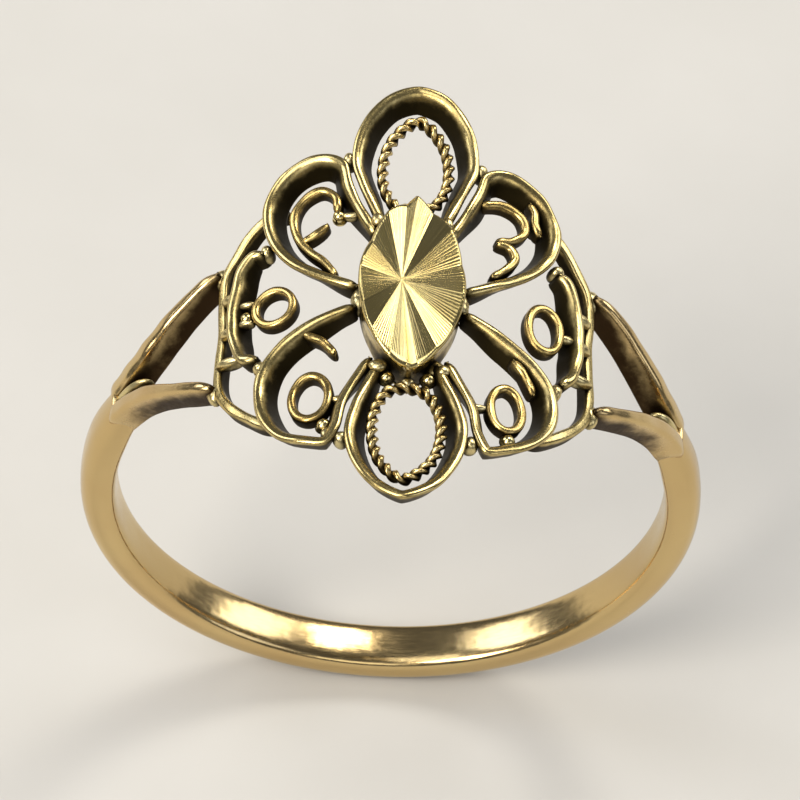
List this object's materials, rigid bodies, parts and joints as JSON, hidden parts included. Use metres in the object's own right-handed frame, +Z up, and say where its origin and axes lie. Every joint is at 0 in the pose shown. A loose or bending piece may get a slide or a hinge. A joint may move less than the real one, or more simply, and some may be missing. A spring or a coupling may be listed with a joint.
{
  "type": "filigree ring",
  "caption": "Gold finger ring whose forked band carries an open flower of strip petals with wire curls inside, around a raised pointed oval plate cut with bright facets.",
  "frame": {"origin": "centre of the finger bore, midway along the band's width", "axes": "+Y along the finger, +Z up through the head, +X to the right of someone who looks along +Y"},
  "size_m": [0.0186, 0.0149, 0.0198],
  "materials": {
    "shank_gold": "polished yellow gold, softened by wear",
    "petal_gold": "polished yellow gold strip, dark in the corners",
    "wire_gold": "satin yellow gold wire",
    "plate_gold": "bright-cut yellow gold"
  },
  "bodies": {
    "root": {"shank": "shank_gold", "arm_back_left": "shank_gold", "arm_front_left": "shank_gold", "arm_back_right": "shank_gold", "arm_front_right": "shank_gold", "rail_left": "petal_gold", "rail_right": "petal_gold", "petal_back": "petal_gold", "petal_front": "petal_gold", "petal_back_left": "petal_gold", "petal_back_right": "petal_gold", "petal_front_left": "petal_gold", "petal_front_right": "petal_gold", "petal_left": "petal_gold", "petal_right": "petal_gold", "hub_plate": "petal_gold", "collet": "petal_gold", "rope_loop_back": "wire_gold", "rope_loop_front": "wire_gold", "curl_back_left": "wire_gold", "curl_back_right": "wire_gold", "tail_back_right": "wire_gold", "tendril_back_left": "wire_gold", "tendril_back_right": "wire_gold", "tendril_front_left": "wire_gold", "tendril_front_right": "wire_gold", "ring_left": "wire_gold", "ring_right": "wire_gold", "ring_front_left": "wire_gold", "ring_front_right": "wire_gold", "granule_back_left": "wire_gold", "granule_left": "wire_gold", "granule_front_left": "wire_gold", "granule_front_right": "wire_gold", "granule_foot_back_left": "wire_gold", "granule_foot_back_right": "wire_gold", "granule_foot_front_left": "wire_gold", "granule_foot_front_right": "wire_gold", "centre_plate": "plate_gold"}
  },
  "joints": []
}
